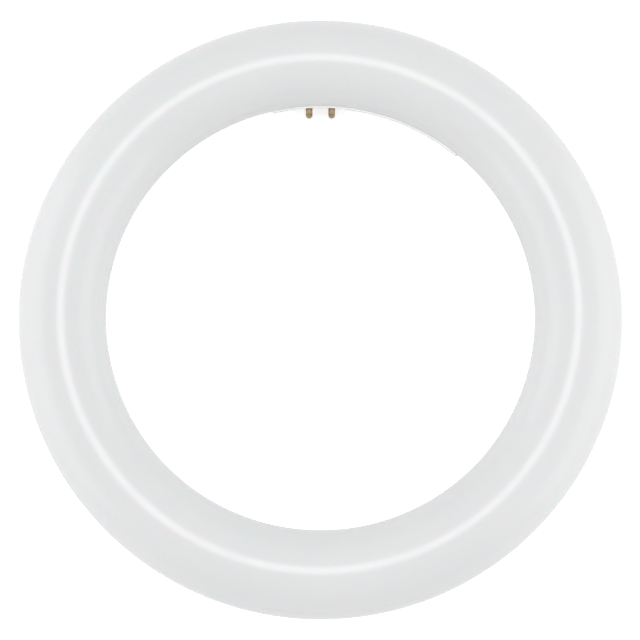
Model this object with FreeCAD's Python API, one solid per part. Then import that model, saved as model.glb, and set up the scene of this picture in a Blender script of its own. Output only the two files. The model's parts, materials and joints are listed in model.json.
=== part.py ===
import FreeCAD, Part
import math
import os

# Circular tube lamp, in millimetres. The ring lies in the XY plane, with its centre at the origin.
# +Z is the light side. The four-pin base is on the +Y side, and its pins point at the ring's centre.
# The ring's section is round: a front diffuser above the seam, a rear housing below it.

# Ring
ring_diameter = 205.0
tube_diameter = 29.5

# Walls
diffuser_wall = 1.6
housing_wall = 1.8

# Seam: the diffuser's shoulder stands on the housing's rim, and its tongue goes down inside the rim
seam_edge = 0.15
rim_lip = 0.8
tongue_depth = 2.0

# Clearance of the tongue in the rim, and of the pin base in the housing's notch
fit_clearance = 0.1

# Pin base: a saddle in a notch on the ring's inner side, with a flange behind the housing's wall.
# The left and right angles go round the ring from +Y, and the bottom angle goes round the section.
saddle_left_angle = 13.0
saddle_right_angle = 40.0
saddle_bottom_angle = 72.0
saddle_proud = 0.75
lip_drop = 0.1
lip_front = 1.2
saddle_edge = 0.5
saddle_wall = 2.0
flange_width = 2.5
flange_wall = 1.2

# Plug recess in the pin base, open towards the ring's centre and downwards
recess_width = 18.0
recess_corner = 2.0
recess_wall = 0.9
platform_depth = 3.5
platform_margin = 0.6

# Contact pins on a rectangle, the tips a little inside the ring's inner edge. The rear row's height is
# measured from the lowest point inside the housing. Behind the platform each pin ends in a tail.
pin_diameter = 2.35
pin_length = 7.0
pin_reach = 2.0
pin_headroom = 1.2
pin_spacing_across = 7.92
pin_spacing_deep = 6.35
rear_row_height = 1.725
shank_diameter = 1.9
tail_length = 2.5
tail_clearance = 0.3

# Radii about the tube's centre line
tube_radius = tube_diameter / 2
ring_radius = ring_diameter / 2 - tube_radius
inner_edge = ring_radius - tube_radius
diffuser_bore = tube_radius - diffuser_wall
housing_bore = tube_radius - housing_wall
rebate_radius = tube_radius - rim_lip
tongue_radius = rebate_radius - fit_clearance
saddle_radius = tube_radius + saddle_proud
saddle_bore = saddle_radius - saddle_wall
flange_radius = housing_bore - fit_clearance
flange_bore = flange_radius - flange_wall

# Heights: the rear row follows the housing, and the seam is just above the plug recess
rear_row = rear_row_height - housing_bore
front_row = rear_row + pin_spacing_deep
recess_ceiling = front_row + pin_diameter / 2 + pin_headroom
seam = recess_ceiling + recess_wall
lip_height = seam - lip_drop
lip_bottom = lip_height - lip_front
tongue_end = seam - tongue_depth
rebate_floor = tongue_end - fit_clearance
platform_bottom = rear_row - pin_diameter / 2 - platform_margin
tail_floor = rear_row - shank_diameter / 2 - tail_clearance

# Places along Y
pin_tip = inner_edge - pin_reach
pin_face = pin_tip + pin_length
platform_back = pin_face + platform_depth
shank_length = platform_depth + tail_length

# Half widths
recess_half = recess_width / 2
hood_half = recess_half + recess_wall
tail_half = (pin_spacing_across + shank_diameter) / 2 + tail_clearance

ORIGIN = FreeCAD.Vector(0, 0, 0)
AXIS = FreeCAD.Vector(0, 0, 1)
TOWARDS_CENTRE = FreeCAD.Vector(0, -1, 0)
OUTER = 1
INNER = -1


def at_height(radius, height, side):
    """Point of the section at a radius about the tube's centre, at a height, on the outer or inner side."""
    return FreeCAD.Vector(ring_radius + side * math.sqrt(radius**2 - height**2), 0, height)


def at_angle(radius, angle):
    """Point of the section's inner side, an angle in degrees below the ring's middle plane."""
    turn = math.radians(angle)
    return FreeCAD.Vector(ring_radius - radius * math.cos(turn), 0, -radius * math.sin(turn))


def line(start, end):
    return Part.makeLine(start, end)


def arc_over(radius, start, end, up):
    """Arc about the tube's centre from start to end, over its top or under its bottom."""
    return Part.Arc(start, FreeCAD.Vector(ring_radius, 0, up * radius), end).toShape()


def arc_beside(radius, low, high, side):
    """Arc about the tube's centre between two heights, on the outer or inner side."""
    ends = [at_height(radius, height, side) for height in (low, high)]
    return Part.Arc(ends[0], at_height(radius, (low + high) / 2, side), ends[1]).toShape()


def arc_between(radius, start_angle, end_angle):
    """Arc about the tube's centre between two angles on the inner side."""
    points = [at_angle(radius, angle) for angle in (start_angle, (start_angle + end_angle) / 2, end_angle)]
    return Part.Arc(*points).toShape()


def section(edges):
    return Part.Face(Part.Wire(Part.__sortEdges__(edges)))


def sector(inner_radius, outer_radius, bottom_angle):
    """Piece of the section's inner side between two radii, from the ring's middle plane down to an angle."""
    edges = [arc_between(radius, 0, bottom_angle) for radius in (inner_radius, outer_radius)]
    for angle in (0, bottom_angle):
        edges.append(line(at_angle(inner_radius, angle), at_angle(outer_radius, angle)))
    return section(edges)


def below_plane(radius, height):
    """Angle below the ring's middle plane at which a circle of this radius has a height."""
    return math.degrees(math.asin(-height / radius))


def around_ring(face, extra=0.0):
    """Turns a section through the pin base's stretch of the ring, longer by extra at both ends."""
    spare = math.degrees(extra / inner_edge)
    start = 90 - saddle_right_angle - spare
    sweep = saddle_left_angle + saddle_right_angle + 2 * spare
    turned = face.copy()
    turned.rotate(ORIGIN, AXIS, start)
    return turned.revolve(ORIGIN, AXIS, sweep)


def box(half_width, y_low, y_high, bottom, top):
    """Block across the pin base, between two places along Y and two heights."""
    corner = FreeCAD.Vector(-half_width, y_low, bottom)
    return Part.makeBox(2 * half_width, y_high - y_low, top - bottom, corner)


def arch(half_width, corner, y_low, y_high, bottom, top):
    """Block like box, with its two upper corners rounded."""
    low = FreeCAD.Vector(half_width, y_low, bottom)
    bend = FreeCAD.Vector(half_width, y_low, top - corner)
    flat = FreeCAD.Vector(half_width - corner, y_low, top)
    slack = corner * (1 - math.sqrt(0.5))
    middle = FreeCAD.Vector(half_width - slack, y_low, top - slack)
    half = [line(low, bend), Part.Arc(bend, middle, flat).toShape()]
    other = [edge.mirror(ORIGIN, FreeCAD.Vector(1, 0, 0)) for edge in half]
    ends = [line(point, FreeCAD.Vector(-point.x, point.y, point.z)) for point in (low, flat)]
    return section(half + other + ends).extrude(FreeCAD.Vector(0, y_high - y_low, 0))


def rim_edges(out, seat_radius, step, bore, tip, side):
    """From a point on the outside, over the seat on the seam plane and the step behind it, to the bore."""
    seat = at_height(seat_radius, seam, side)
    return [
        line(out, seat),
        line(seat, at_height(step, seam, side)),
        arc_beside(step, tip, seam, side),
        line(at_height(step, tip, side), at_height(bore, tip, side)),
    ]


def shell(bore, step, tip, up):
    """Half of the tube: over the top with a tongue, or under the bottom with a rebate for it."""
    edges = []
    for radius, height in ((tube_radius, seam + up * seam_edge), (bore, tip)):
        ends = [at_height(radius, height, side) for side in (OUTER, INNER)]
        edges.append(arc_over(radius, *ends, up))
    for side in (OUTER, INNER):
        out = at_height(tube_radius, seam + up * seam_edge, side)
        edges += rim_edges(out, tube_radius - seam_edge, step, bore, tip, side)
    return section(edges).revolve(ORIGIN, AXIS, 360)


def make_diffuser():
    """Opal cover. Its tongue is left out where the plug recess comes up to the seam."""
    cover = shell(diffuser_bore, tongue_radius, tongue_end, 1)
    return cover.cut(box(hood_half + fit_clearance, inner_edge, ring_radius, rebate_floor, seam))


def make_housing():
    """Round back with a notch that the pin base drops into."""
    spare = math.degrees(fit_clearance / tube_radius)
    notch = around_ring(sector(flange_bore, saddle_radius, saddle_bottom_angle + spare), fit_clearance)
    room = box(
        hood_half + fit_clearance,
        pin_face - fit_clearance,
        platform_back + fit_clearance,
        platform_bottom - fit_clearance,
        seam,
    )
    return shell(housing_bore, rebate_radius, rebate_floor, -1).cut(notch.fuse(room))


def lip_ends():
    """Upper and lower end of the lip's upright front. The lower end is on the saddle's round face."""
    lower = at_height(saddle_radius, lip_bottom, INNER)
    return FreeCAD.Vector(lower.x, 0, lip_height), lower


def make_saddle():
    """Wall that fills the notch, with a lip proud of the tube and the rebate carried on along its top."""
    lip, lip_foot = lip_ends()
    bottom = saddle_bottom_angle - math.degrees(saddle_edge / saddle_radius)
    corner = at_angle(saddle_radius - saddle_edge, saddle_bottom_angle)
    edges = rim_edges(lip, tube_radius, rebate_radius, flange_bore, rebate_floor, INNER)
    edges += [
        line(lip, lip_foot),
        arc_between(saddle_radius, below_plane(saddle_radius, lip_bottom), bottom),
        line(at_angle(saddle_radius, bottom), corner),
        line(corner, at_angle(flange_bore, saddle_bottom_angle)),
        arc_between(flange_bore, below_plane(flange_bore, rebate_floor), saddle_bottom_angle),
    ]
    return around_ring(section(edges))


def make_flange():
    """Thin border behind the housing's wall that keeps the base in its notch, open behind the pin tails."""
    bottom = saddle_bottom_angle + math.degrees(flange_width / flange_radius)
    faces = (flange_radius, flange_bore)
    edges = [arc_between(radius, below_plane(radius, rebate_floor), bottom) for radius in faces]
    edges.append(line(*[at_angle(radius, bottom) for radius in faces]))
    edges.append(line(*[at_height(radius, rebate_floor, INNER) for radius in faces]))
    gap = box(tail_half, platform_back, ring_radius, -tube_radius, seam)
    return around_ring(section(edges), flange_width).cut(gap)


def make_saddle_plate():
    """Saddle and flange in one moulding, thinned inside the flange's border."""
    inset = saddle_bottom_angle - math.degrees(flange_width / saddle_bore)
    window = around_ring(sector(flange_bore - flange_wall, saddle_bore, inset), -flange_width)
    return make_saddle().fuse(make_flange()).cut(window)


def make_hood_limit():
    """Lower inner quarter of the tube, out to the saddle's face, with the same lip."""
    lip, lip_foot = lip_ends()
    seat = at_height(tube_radius, seam, INNER)
    middle = FreeCAD.Vector(ring_radius, 0, seam)
    edges = [
        arc_between(saddle_radius, below_plane(saddle_radius, lip_bottom), 90),
        line(lip_foot, lip),
        line(lip, seat),
        line(seat, middle),
        line(middle, at_angle(saddle_radius, 90)),
    ]
    return around_ring(section(edges))


def make_shank(place):
    """Pressed-in end of a pin with its tail, behind the shoulder, which is also the bore that it fills."""
    return Part.makeCylinder(shank_diameter / 2, shank_length, place, -TOWARDS_CENTRE)


def make_pin_base(pin_places):
    """Saddle plate with the plug recess: a hood, a platform bored for the pins, and room for their tails."""
    outline = (hood_half, recess_corner + recess_wall)
    hood = arch(*outline, inner_edge - saddle_proud, pin_face, platform_bottom, seam)
    platform = arch(*outline, pin_face, platform_back, platform_bottom, seam)
    body = make_saddle_plate().fuse([hood.common(make_hood_limit()), platform])
    recess = arch(recess_half, recess_corner, pin_tip, pin_face, -saddle_radius, recess_ceiling)
    tail_room = box(tail_half, platform_back, ring_radius, tail_floor, seam)
    bores = [make_shank(place) for place in pin_places]
    return body.cut([recess, tail_room] + bores).removeSplitter()


def make_pin(place):
    """Turned pin: a domed free length that shoulders on the platform, and a thinner shank."""
    radius = pin_diameter / 2
    straight = pin_length - radius
    free = Part.makeCylinder(radius, straight, place, TOWARDS_CENTRE)
    dome = Part.makeSphere(radius, place + TOWARDS_CENTRE * straight, TOWARDS_CENTRE, 0, 90)
    return free.fuse([dome, make_shank(place)]).removeSplitter()


def pin_positions():
    """Middle of each pin's shoulder, along the front row and then the rear row."""
    half = pin_spacing_across / 2
    return [FreeCAD.Vector(x, pin_face, z) for z in (front_row, rear_row) for x in (-half, half)]


def main():
    os.makedirs("parts", exist_ok=True)
    places = pin_positions()
    nodes = {
        "front_diffuser": make_diffuser(),
        "rear_housing": make_housing(),
        "pin_base": make_pin_base(places),
    }
    for number, place in enumerate(places, 1):
        nodes[f"contact_pin_{number}"] = make_pin(place)
    for name, shape in nodes.items():
        solids = shape.Solids
        print(name, len(solids), "solid, valid:", shape.isValid(), "volume", round(shape.Volume, 1))
        solid = solids[0] if len(solids) == 1 else Part.makeCompound(solids)
        solid.exportStep(f"parts/{name}.step")


main()
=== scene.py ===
# %% [markdown]
# # A circular tube lamp
# The lamp is a ring of round tube that lies on its back. An opal cover makes the light side, a white
# housing closes the back, and a small base on the inner edge carries four brass pins. The imported solids
# are the fixed frame of this scene: they give the places and the outside sizes, and the pieces made here
# dress them. Loading the frame comes first.

import json
import math

import bmesh
import bpy
import numpy as np
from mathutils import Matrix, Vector


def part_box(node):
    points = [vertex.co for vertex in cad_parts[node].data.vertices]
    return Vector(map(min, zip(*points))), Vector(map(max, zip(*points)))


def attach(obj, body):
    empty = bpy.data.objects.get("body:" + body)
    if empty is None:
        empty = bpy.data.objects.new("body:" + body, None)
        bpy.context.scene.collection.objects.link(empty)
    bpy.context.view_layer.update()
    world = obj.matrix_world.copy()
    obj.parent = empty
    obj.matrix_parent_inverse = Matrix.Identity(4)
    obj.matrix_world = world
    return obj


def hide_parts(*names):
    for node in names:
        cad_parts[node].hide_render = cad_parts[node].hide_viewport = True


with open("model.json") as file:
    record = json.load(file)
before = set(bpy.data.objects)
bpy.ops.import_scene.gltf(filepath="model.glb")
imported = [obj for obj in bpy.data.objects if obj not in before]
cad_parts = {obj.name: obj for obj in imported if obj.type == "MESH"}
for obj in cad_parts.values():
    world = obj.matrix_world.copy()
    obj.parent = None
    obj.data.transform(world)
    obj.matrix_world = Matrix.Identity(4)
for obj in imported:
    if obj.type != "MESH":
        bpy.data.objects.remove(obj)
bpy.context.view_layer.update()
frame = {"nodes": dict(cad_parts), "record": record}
print("nodes:", sorted(frame["nodes"]))

# %% [markdown]
# ## The ring's section
# A cut through the tube shows two thin shells. The cover stands on the housing's rim at the seam, a little
# below the middle of the tube, and a tongue on the cover goes down inside the rim. The outside sizes come
# from the frame. The walls are hidden in the lamp, so they are written here once, at the thickness that
# such mouldings have.

# %% Outside sizes, in metres
MM = 0.001
diffuser_low, diffuser_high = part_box("front_diffuser")
housing_low, housing_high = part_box("rear_housing")
tube_radius = -housing_low.z
ring_radius = diffuser_high.x - tube_radius
seam = housing_high.z
tongue_end = diffuser_low.z
print(f"tube radius {tube_radius / MM:.2f} mm on a ring of radius {ring_radius / MM:.2f} mm")
print(f"seam at {seam / MM:.2f} mm, tongue down to {tongue_end / MM:.2f} mm")

# %% Walls and the fit at the seam, in metres
RIM_WALL = 0.8 * MM
DIFFUSER_WALL = 1.6 * MM
HOUSING_WALL = 1.8 * MM
FIT_CLEARANCE = 0.1 * MM
rebate_radius = tube_radius - RIM_WALL
rebate_floor = tongue_end - FIT_CLEARANCE
tongue_radius = rebate_radius - FIT_CLEARANCE
diffuser_bore = tube_radius - DIFFUSER_WALL
housing_bore = tube_radius - HOUSING_WALL
print(f"the tongue is {(tongue_radius - diffuser_bore) / MM:.2f} mm thick")

# %% [markdown]
# ## Section curves
# The section could be drawn by hand as a polygon, but arcs about the tube's centre keep it truly round.
# Each helper below returns points as rows of distance from the ring's axis and height, so a section is a
# stack of such rows. Where the shells meet at the seam, their edges are a little soft, as on any moulding.

# %% Points and arcs about the tube's centre
OUTER, INNER = 1, -1


def on_circle(radius, height, side):
    """Points at a height: distance = ring radius +- root of (radius squared - height squared)."""
    height = np.atleast_1d(height)
    return np.stack([ring_radius + side * np.sqrt(radius**2 - height**2), height], 1)


def arc(radius, start, end, count):
    """Points between two angles in degrees, where 0 points away from the ring's axis and 90 points up.

    Distance = ring radius + radius cos(angle), and height = radius sin(angle).
    """
    turn = np.radians(np.linspace(start, end, count))
    return np.stack([ring_radius + radius * np.cos(turn), radius * np.sin(turn)], 1)


def angle_at(radius, height, side):
    """Angle in degrees of the point at a height: arc sine of (height / radius), mirrored on the inside."""
    tilt = math.degrees(math.asin(height / radius))
    if side == OUTER:
        return tilt
    return 180 - tilt if height > 0 else -180 - tilt


print(f"the seam is {-angle_at(tube_radius, seam, OUTER):.1f} degrees below the tube's middle")

# %% Soft edges at the seam
SEAM_EDGE = 0.15 * MM
EDGE_STEPS = 6


def rounded(start, corner, end, count):
    """A soft edge: the curve (1 - t)^2 start + 2 t (1 - t) corner + t^2 end."""
    t = np.linspace(0, 1, count)[:, None]
    return (1 - t) ** 2 * start + 2 * t * (1 - t) * corner + t**2 * end


def rim(side, up):
    """Soft edge of a shell, from its outside to its seat; up is 1 for the cover and -1 for the back."""
    start = on_circle(tube_radius, seam + up * SEAM_EDGE, side)
    corner = on_circle(tube_radius, seam, side)
    end = on_circle(tube_radius - SEAM_EDGE, seam, side)
    return rounded(start, corner, end, EDGE_STEPS)


print(f"each edge at the seam is softened over {SEAM_EDGE / MM:.2f} mm by {len(rim(OUTER, 1))} points")

# %% [markdown]
# ## From grids to meshes
# Every new piece is one or more grids of points, worked out as whole arrays. The points could be added one
# by one, but that is slow and hides the shape. The first helper makes the quads between neighbours in a
# grid. The second closes a mesh: it merges the points that grids share, drops faces with no area, fills the
# flat ends that are left open and turns all faces outwards. The third puts grids together and shades them.


# %% Quads of a grid
def grid_quads(rows, columns, wrap_rows, wrap_columns):
    """Quads of a grid: each point with its next row and next column, wrapping round where asked."""
    index = np.arange(rows * columns).reshape(rows, columns)
    if wrap_rows:
        index = np.concatenate([index, index[:1]], 0)
    if wrap_columns:
        index = np.concatenate([index, index[:, :1]], 1)
    corners = index[:-1, :-1], index[1:, :-1], index[1:, 1:], index[:-1, 1:]
    return np.stack([corner.ravel() for corner in corners], 1)


print("a grid of 3 by 4 points has", len(grid_quads(3, 4, False, False)), "quads")

# %% Close a mesh
GRID_MERGE = 0.001 * MM


def close_mesh(mesh, merge, flat=0.0):
    """Merges shared points, drops empty faces, fills open ends, joins flat faces and turns all outwards."""
    work = bmesh.new()
    work.from_mesh(mesh)
    bmesh.ops.remove_doubles(work, verts=work.verts, dist=merge)
    bmesh.ops.dissolve_degenerate(work, edges=work.edges, dist=merge)
    open_edges = [edge for edge in work.edges if edge.is_boundary]
    if open_edges:
        bmesh.ops.holes_fill(work, edges=open_edges, sides=0)
    if flat:
        bmesh.ops.dissolve_limit(work, angle_limit=flat, verts=work.verts, edges=work.edges)
    bmesh.ops.recalc_face_normals(work, faces=work.faces)
    still_open = sum(not edge.is_manifold for edge in work.edges)
    print(f"{mesh.name}: {len(work.verts)} points, {len(work.faces)} faces, {still_open} open edges")
    work.to_mesh(mesh)
    work.free()


print(f"points of grids that are within {GRID_MERGE / MM} mm become one")

# %% Make a piece from grids
CRISP = math.radians(35)


def shaded_piece(name, mesh):
    """An object with the mesh, smooth on round faces and crisp at sharp edges."""
    mesh.shade_smooth()
    mesh.set_sharp_from_angle(angle=CRISP)
    return bpy.data.objects.new(name, mesh)


def mesh_piece(name, grids):
    """One closed mesh from grids of points; each is (points, wrap rows, wrap columns)."""
    points, quads, start = [], [], 0
    for grid, wrap_rows, wrap_columns in grids:
        rows, columns = grid.shape[:2]
        points.append(grid.reshape(-1, 3))
        quads.append(grid_quads(rows, columns, wrap_rows, wrap_columns) + start)
        start += rows * columns
    mesh = bpy.data.meshes.new(name)
    mesh.from_pydata(np.concatenate(points).tolist(), [], np.concatenate(quads).tolist())
    close_mesh(mesh, GRID_MERGE)
    return shaded_piece(name, mesh)


print(f"edges sharper than {math.degrees(CRISP):.0f} degrees stay crisp")

# %% [markdown]
# ## Round the ring
# Both shells are made by carrying a section round the ring's axis. Each finished piece is then put in the
# scene in the place of one solid of the frame: it hides that solid and rides with the lamp's one body.

# %% Helpers for the pieces
RING_STEPS = 360
scene = bpy.context.scene


def carry_round(section, angles):
    """A section carried round the ring: x = distance sin(angle), y = distance cos(angle), z = height."""
    angles = np.asarray(angles)[:, None]
    distance, height, angles = np.broadcast_arrays(section[..., 0], section[..., 1], angles)
    return np.stack([distance * np.sin(angles), distance * np.cos(angles), height], -1)


def dress(piece, node):
    """Puts a piece in the scene in the place of a node of the frame."""
    scene.collection.objects.link(piece)
    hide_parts(node)
    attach(piece, "root")
    return piece


print(f"one step round the ring is {2 * math.pi * ring_radius / RING_STEPS / MM:.2f} mm")

# %% [markdown]
# ## Opal cover
# The cover is a moulded half tube that wraps a little past the middle. It could be a torus with its back
# cut away, but then it would have no edge to catch light at the seam. Here its whole section, tongue
# included, is carried round the ring. The tongue stops where the pin base comes up to the seam: there the
# section has a tongue of no depth, and two sections at one angle make each end of the tongue.

# %% Section of the cover
# Points along the outside, along the bore, and down the tongue or its rebate.
SKIN_STEPS = 96
BORE_STEPS = 64
FIT_STEPS = 4
NO_DEPTH = 1e-9


def tongue(side, end):
    """Tongue from its shoulder on the seam plane, down to its end and across to the cover's bore."""
    down = on_circle(tongue_radius, np.linspace(seam, end, FIT_STEPS), side)
    across = on_circle(diffuser_bore, end, side)
    return np.concatenate([down, across])


def cover_section(inner_end):
    """Closed section of the cover, from the outer seam over the top to the inner seam and back inside."""
    skin_from = angle_at(tube_radius, seam + SEAM_EDGE, OUTER)
    skin_to = angle_at(tube_radius, seam + SEAM_EDGE, INNER) % 360
    bore_from = angle_at(diffuser_bore, inner_end, INNER) % 360
    bore_to = angle_at(diffuser_bore, tongue_end, OUTER)
    return np.concatenate([
        arc(tube_radius, skin_from, skin_to, SKIN_STEPS),
        rim(INNER, 1)[1:],
        tongue(INNER, inner_end),
        arc(diffuser_bore, bore_from, bore_to, BORE_STEPS)[1:-1],
        tongue(OUTER, tongue_end)[::-1],
        rim(OUTER, 1)[:0:-1],
    ])


with_tongue = cover_section(tongue_end)
without_tongue = cover_section(seam - NO_DEPTH)
print("the cover's section has", len(with_tongue), "points")

# %% Make the cover
HALF_TONGUE_GAP = 10.0 * MM
gap_angle = math.asin(HALF_TONGUE_GAP / (ring_radius - tongue_radius))
around = np.linspace(-math.pi, math.pi, RING_STEPS, endpoint=False)
before, after = around[around < -gap_angle], around[around > gap_angle]
inside = around[np.abs(around) < gap_angle]
turns = np.concatenate([before, [-gap_angle] * 2, inside, [gap_angle] * 2, after])
has_tongue = np.ones(len(turns), bool)
has_tongue[len(before) + 1:-len(after) - 1] = False
sections = np.where(has_tongue[:, None, None], with_tongue, without_tongue)
cover = mesh_piece("opal_cover", [(carry_round(sections, turns), True, True)])
dress(cover, "front_diffuser")

# %% [markdown]
# ## White back
# The back is the same half tube turned over, with a rebate for the tongue, and a notch on the inner side
# for the pin base. A boolean cut would leave long thin faces, so the back is put together from three strips
# that share their edges: the part that goes all the way round, the inner wall that stops at the notch, and
# the notch's floor. The two flat ends of the notch are filled when the strips are joined.

# %% Section of the back
# In degrees, as for every arc of the section.
NOTCH_FLOOR_ANGLE = -107.6


def rebate(side):
    """From the seat on the seam plane down the rebate for the tongue, and across to the back's bore."""
    down = on_circle(rebate_radius, np.linspace(seam, rebate_floor, FIT_STEPS), side)
    return np.concatenate([down, on_circle(housing_bore, rebate_floor, side)])


skin_out, skin_in = [angle_at(tube_radius, seam - SEAM_EDGE, side) for side in (OUTER, INNER)]
bore_out, bore_in = [angle_at(housing_bore, rebate_floor, side) for side in (OUTER, INNER)]
round_part = np.concatenate([
    arc(housing_bore, NOTCH_FLOOR_ANGLE, bore_out, BORE_STEPS)[:-1],
    rebate(OUTER)[::-1],
    rim(OUTER, -1)[:0:-1],
    arc(tube_radius, skin_out, NOTCH_FLOOR_ANGLE, SKIN_STEPS),
])
inner_wall = np.concatenate([
    arc(tube_radius, NOTCH_FLOOR_ANGLE, skin_in, SKIN_STEPS // 2),
    rim(INNER, -1)[1:],
    rebate(INNER),
    arc(housing_bore, bore_in, NOTCH_FLOOR_ANGLE, BORE_STEPS // 2)[1:],
])
notch_floor = np.concatenate([round_part[-1:], round_part[:1]])
print("the back's section has", len(round_part) + len(inner_wall), "points")

# %% Make the back
NOTCH_LEFT, NOTCH_RIGHT = math.radians(-13.08), math.radians(40.08)
NOTCH_STEPS = 54
notch_turns = np.linspace(NOTCH_LEFT, NOTCH_RIGHT, NOTCH_STEPS)
wall_turns = np.linspace(NOTCH_RIGHT, NOTCH_LEFT + 2 * math.pi, RING_STEPS - NOTCH_STEPS + 2)
all_turns = np.concatenate([notch_turns, wall_turns[1:-1]])
back = mesh_piece("white_back", [
    (carry_round(round_part, all_turns), True, False),
    (carry_round(inner_wall, wall_turns), False, False),
    (carry_round(notch_floor, notch_turns), False, False),
])
dress(back, "rear_housing")

# %% [markdown]
# ## Pin base
# The base is a small moulding with many faces: a saddle that fills the notch, a recess for the plug and a
# platform for the pins. It could be built again from boxes and cuts, but the frame already has its true
# form. So it is copied, its loose triangles are merged into one skin, and flat neighbours are joined. The
# copy also brings normals that were stored for the loose triangles. They no longer fit, so they go, and the
# base gets its shading as the other pieces do: smooth on round faces and crisp at edges.

# %% Make the pin base
COPY_MERGE = 0.0001 * MM
FLAT = math.radians(0.5)


def merged_copy(name, node):
    """A copy of a node as one skin, without its stored normals."""
    mesh = frame["nodes"][node].data.copy()
    mesh.name = name
    mesh.materials.clear()
    close_mesh(mesh, COPY_MERGE, FLAT)
    stored_normals = mesh.attributes.get("custom_normal")
    if stored_normals:
        mesh.attributes.remove(stored_normals)
    return shaded_piece(name, mesh)


base = merged_copy("pin_base_moulding", "pin_base")
dress(base, "pin_base")

# %% [markdown]
# ## Contact pins
# Each pin is turned from brass: a straight length with a domed tip, a small round at the shoulder and a
# thinner shank that is pressed into the base. A cylinder with a sphere on its end would show a seam, so
# one profile is turned about the pin's own axis and gives all of it in one surface.

# %% Profile of a pin
SHANK_RADIUS = 0.95 * MM
SHOULDER_EDGE = 0.12 * MM
SHOULDER_STEPS = 5
DOME_STEPS = 16
pin_pattern = next(mount for mount in frame["record"]["mounts"] if mount["name"] == "contact_pins")
pin_radius = pin_pattern["dims"]["stud_r_mm"] * MM
pin_face = pin_pattern["pos_m"][1]


def pin_profile(length, shank):
    """Distance from the axis and place along it, from the shank's end to the top of the round dome."""
    dome = np.linspace(0, math.pi / 2, DOME_STEPS)
    straight = length - pin_radius
    edge = np.array([[pin_radius - SHOULDER_EDGE, 0], [pin_radius, 0], [pin_radius, SHOULDER_EDGE]])
    shoulder = rounded(*edge, SHOULDER_STEPS)
    tip = np.stack([pin_radius * np.cos(dome), straight + pin_radius * np.sin(dome)], 1)
    return np.concatenate([[[0, -shank], [SHANK_RADIUS, -shank], [SHANK_RADIUS, 0]], shoulder, tip])


print(f"pin radius {pin_radius / MM:.2f} mm, shoulders at y = {pin_face / MM:.2f} mm")

# %% Make the pins
PIN_SIDES = 48
PIN_NAMES = ("pin_front_left", "pin_front_right", "pin_rear_left", "pin_rear_right")


def turn_pin(name, node):
    """The profile turned about the pin's axis: x and z go round the axis, y goes along it."""
    low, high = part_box(node)
    middle = (low + high) / 2
    profile = pin_profile(pin_face - low.y, high.y - pin_face)
    turn = np.linspace(0, 2 * math.pi, PIN_SIDES, endpoint=False)[:, None]
    across = middle.x + profile[:, 0] * np.cos(turn)
    along = np.broadcast_to(pin_face - profile[:, 1], across.shape)
    height = middle.z + profile[:, 0] * np.sin(turn)
    pin = mesh_piece(name, [(np.stack([across, along, height], -1), True, False)])
    return dress(pin, node)


pins = [turn_pin(name, f"contact_pin_{number}") for number, name in enumerate(PIN_NAMES, 1)]

# %% [markdown]
# ## Finishes
# A finish is a Principled shader whose colour and roughness drift a little over the surface, since no real
# skin is perfectly even. One flat value for each would be simpler, but it looks like a computer picture.
# The drift is noise in Object coordinates, so that it stays on the piece when the lamp is moved. A fine
# relief, which only bends the light, takes the place of grain that is too small to model.

# %% Helpers for a finish
SHADER = "Principled BSDF"


def finish(name, uniform):
    """A new material, with the values that are the same all over set on its shader."""
    material = bpy.data.materials.new(name)
    material.use_nodes = True
    shader = material.node_tree.nodes[SHADER]
    for socket, value in uniform.items():
        shader.inputs[socket].default_value = value
    return material


def wear(piece, material):
    """Gives a piece its one finish."""
    piece.data.materials.clear()
    piece.data.materials.append(material)
    print(f"{piece.name} wears {material.name}")


print("each finish is a", SHADER)

# %% Helpers for drift
DRIFT_STOPS = (0.3, 0.7)
DRIFT_DETAIL = 3.0


def pattern(material, kind, numbers):
    """A texture node with its numbers set, laid on Object coordinates."""
    tree = material.node_tree
    texture = tree.nodes.new(kind)
    for socket, number in numbers.items():
        texture.inputs[socket].default_value = number
    place = tree.nodes.new("ShaderNodeTexCoord")
    tree.links.new(place.outputs["Object"], texture.inputs["Vector"])
    return texture


def drift(material, socket, scale, ends):
    """Lets noise move a socket of the shader between two colours, or two numbers written as greys."""
    tree = material.node_tree
    noise = pattern(material, "ShaderNodeTexNoise", {"Scale": scale, "Detail": DRIFT_DETAIL})
    ramp = tree.nodes.new("ShaderNodeValToRGB")
    for stop, position, end in zip(ramp.color_ramp.elements, DRIFT_STOPS, ends):
        stop.position = position
        stop.color = (*np.broadcast_to(end, 3), 1)
    tree.links.new(noise.outputs["Fac"], ramp.inputs["Fac"])
    tree.links.new(ramp.outputs["Color"], tree.nodes[SHADER].inputs[socket])


print(f"a drift runs while its noise goes from {DRIFT_STOPS[0]} to {DRIFT_STOPS[1]}")

# %% Helpers for relief
GRAIN_DETAIL = 2.0
GRAIN_STRENGTH = 0.3


def relief(material, height, strength, depth):
    """Turns a height into fine relief of the surface, with its depth in metres."""
    tree = material.node_tree
    bump = tree.nodes.new("ShaderNodeBump")
    bump.inputs["Strength"].default_value = strength
    bump.inputs["Distance"].default_value = depth
    tree.links.new(height, bump.inputs["Height"])
    tree.links.new(bump.outputs["Normal"], tree.nodes[SHADER].inputs["Normal"])


def grain(material, scale, depth):
    """Fine relief from noise, as moulded plastic has."""
    noise = pattern(material, "ShaderNodeTexNoise", {"Scale": scale, "Detail": GRAIN_DETAIL})
    relief(material, noise.outputs["Fac"], GRAIN_STRENGTH, depth)


print(f"the plastics' grain has a strength of {GRAIN_STRENGTH}")

# %% [markdown]
# ## Opal plastic
# The cover is white all through and lets light pass, so that the lamp glows evenly. Some of the light that
# falls on it goes in and comes out again nearby, which softens its shading, and its skin has a soft gloss.
# Glass mixed with white would also do, but it renders slowly; a little subsurface gives the same look.

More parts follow.
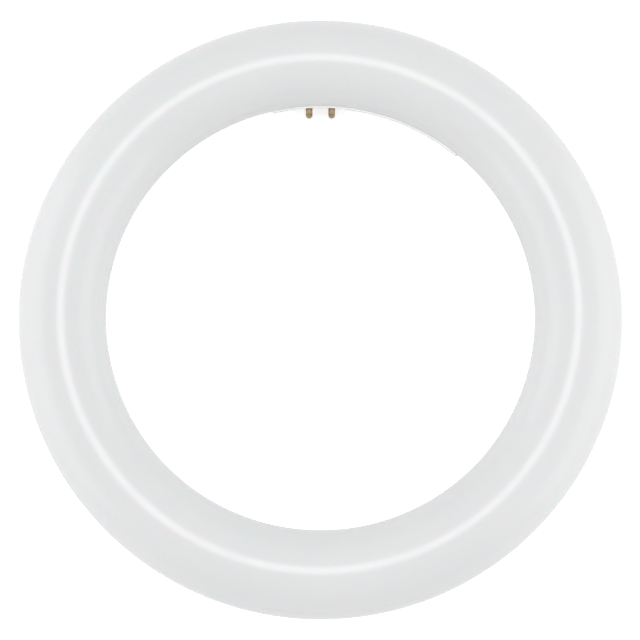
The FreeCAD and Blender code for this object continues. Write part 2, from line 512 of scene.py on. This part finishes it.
# %% Make the opal plastic
OPAL_COLOURS = (0.772, 0.780, 0.784), (0.790, 0.797, 0.800)
OPAL_ROUGHNESS = 0.20, 0.25
opal = finish("opal_plastic", {"Subsurface Weight": 0.2, "Subsurface Scale": 2 * MM})
drift(opal, "Base Color", scale=18.0, ends=OPAL_COLOURS)
drift(opal, "Roughness", scale=140.0, ends=OPAL_ROUGHNESS)
grain(opal, scale=900.0, depth=0.01 * MM)
wear(cover, opal)

# %% [markdown]
# ## White plastic
# The back and the pin base are moulded in a denser white that light doesn't pass. Its skin reflects a
# little more than most plastics, so its index of refraction is that of polycarbonate, the usual material
# of lamp housings, and a very fine relief keeps large faces from looking like paper.

# %% Make the white plastic
WHITE_COLOURS = (0.885, 0.885, 0.88), (0.90, 0.90, 0.895)
WHITE_ROUGHNESS = 0.19, 0.24
white = finish("white_plastic", {"IOR": 1.585})
drift(white, "Base Color", scale=25.0, ends=WHITE_COLOURS)
drift(white, "Roughness", scale=300.0, ends=WHITE_ROUGHNESS)
grain(white, scale=2400.0, depth=0.02 * MM)
wear(back, white)
wear(base, white)

# %% [markdown]
# ## Turned brass
# The pins are plain brass that has gone a little dull. Turning leaves fine rings round each pin. They could
# be modelled as grooves, but they are far too fine to see singly, so a wave along y, the direction of the
# pins, becomes relief, and it breaks up the highlights.

# %% Make the turned brass
BRASS_COLOURS = (0.43, 0.33, 0.195), (0.515, 0.40, 0.24)
BRASS_ROUGHNESS = 0.30, 0.42
brass = finish("turned_brass", {"Metallic": 1.0})
drift(brass, "Base Color", scale=500.0, ends=BRASS_COLOURS)
drift(brass, "Roughness", scale=1500.0, ends=BRASS_ROUGHNESS)
rings = pattern(brass, "ShaderNodeTexWave", {"Scale": 900.0, "Distortion": 1.5})
rings.bands_direction = "Y"
relief(brass, rings.outputs["Fac"], strength=0.15, depth=0.01 * MM)
for pin in pins:
    wear(pin, brass)

# %% [markdown]
# ## Floor
# The lamp lies on a plain white floor. Lit white paint alone would render a little grey, and more light
# would bleach the lamp. So the paint also shines by itself, but only to the camera and in what glossy or
# clear pieces show of it. The floor then comes out white and keeps a soft shadow of the lamp, and the glow
# adds nothing to the light on matt surfaces.

# %% Mix the floor's paint
FLOOR_GLOW = {"Is Camera Ray": 0.52, "Is Glossy Ray": 0.16, "Is Transmission Ray": 0.16}
FLOOR_PAINT = {
    "Base Color": (0.89, 0.89, 0.89, 1),
    "Roughness": 0.9,
    "Emission Color": (1, 1, 1, 1),
}


def light_sum(tree, shares):
    """A sum of Light Path outputs, each times its share."""
    path = tree.nodes.new("ShaderNodeLightPath")
    total = None
    for ray, share in shares.items():
        step = tree.nodes.new("ShaderNodeMath")
        step.operation = "MULTIPLY_ADD"
        step.inputs[1].default_value = share
        step.inputs[2].default_value = 0.0
        tree.links.new(path.outputs[ray], step.inputs[0])
        if total:
            tree.links.new(total, step.inputs[2])
        total = step.outputs[0]
    return total


floor_paint = finish("white_floor", FLOOR_PAINT)
paint_tree = floor_paint.node_tree
glow_socket = paint_tree.nodes[SHADER].inputs["Emission Strength"]
paint_tree.links.new(light_sum(paint_tree, FLOOR_GLOW), glow_socket)
print("the floor shines by", FLOOR_GLOW)

# %% Lay the floor
FLOOR_SIZE = 20.0
half = FLOOR_SIZE / 2
square = ((-half, -half), (half, -half), (half, half), (-half, half))
floor_mesh = bpy.data.meshes.new("floor")
floor_mesh.from_pydata([(x, y, housing_low.z) for x, y in square], [], [(0, 1, 2, 3)])
floor = bpy.data.objects.new("floor", floor_mesh)
scene.collection.objects.link(floor)
wear(floor, floor_paint)
print(f"floor at {housing_low.z / MM:.2f} mm")

# %% [markdown]
# ## Light
# The photograph was taken in soft light from all round, and the tube's flanks are only a little lighter at
# the left and right. A thin bright ring runs along the top of the tube. One big lamp could light it all,
# but it would not draw that ring. So a pale world does most of the work, two wide panels lift the sides,
# and one small round lamp high above the ring draws the line. The panels are wide so that their reflections
# at the tube's ends stay soft when the lamp is seen from the side.

# %% Make the world
WORLD_STRENGTH = 0.75
world = bpy.data.worlds.new("pale_room")
scene.world = world
world.use_nodes = True
background = world.node_tree.nodes["Background"]
background.inputs["Color"].default_value = (1, 1, 1, 1)
background.inputs["Strength"].default_value = WORLD_STRENGTH
scene.view_settings.view_transform = "Standard"
print(f"the world is white, at a strength of {WORLD_STRENGTH}")

# %% Make the lamps
# Each lamp has its place, its width and height, its power in watts and its shape.
LAMPS = {
    "left_panel": ((-0.8, 0, 0.3), (1.2, 0.6), 1.8, "RECTANGLE"),
    "right_panel": ((0.8, 0, 0.3), (1.2, 0.6), 1.85, "RECTANGLE"),
    "high_lamp": ((-0.045, 0.097, 1.0), (0.35, 0.35), 1.3, "DISK"),
}


def area_lamp(name, place, size, power, shape):
    """A flat lamp that faces the middle of the ring."""
    lamp = bpy.data.lights.new(name, "AREA")
    lamp.shape = shape
    lamp.size, lamp.size_y = size
    lamp.energy = power
    holder = bpy.data.objects.new(name, lamp)
    scene.collection.objects.link(holder)
    holder.location = place
    holder.rotation_euler = (-Vector(place)).to_track_quat("-Z", "Y").to_euler()
    print(f"{name}: {power} W, {Vector(place).length:.2f} m away")


for lamp_name, lamp_settings in LAMPS.items():
    area_lamp(lamp_name, *lamp_settings)

# %% [markdown]
# ## Camera
# The camera looks down on the ring from the side opposite the pins, about eight degrees off the vertical,
# so that the inner edge shows below the far side of the tube. Its distance and lens were found by matching
# the ring's two outlines. It aims a little nearer than the middle, which lifts the ring by a few pixels, as
# in the photograph.

# %% Make the camera
CAMERA_DISTANCE = 0.6017
CAMERA_TILT = math.radians(7.9)
CAMERA_AIM = Vector((-0.00015, -0.00205, 0))
SENSOR_WIDTH = 36.0
LENS = 99.5
camera_data = bpy.data.cameras.new("camera")
camera_data.sensor_width = SENSOR_WIDTH
camera_data.lens = LENS
camera = bpy.data.objects.new("camera", camera_data)
scene.collection.objects.link(camera)
nearer = CAMERA_DISTANCE * math.sin(CAMERA_TILT)
above = CAMERA_DISTANCE * math.cos(CAMERA_TILT)
camera.location = (CAMERA_AIM.x, -nearer, above)
camera.rotation_euler = (CAMERA_AIM - camera.location).to_track_quat("-Z", "Y").to_euler()
scene.camera = camera
print(f"camera {above:.3f} m above the ring, field of view {math.degrees(camera_data.angle):.1f} degrees")
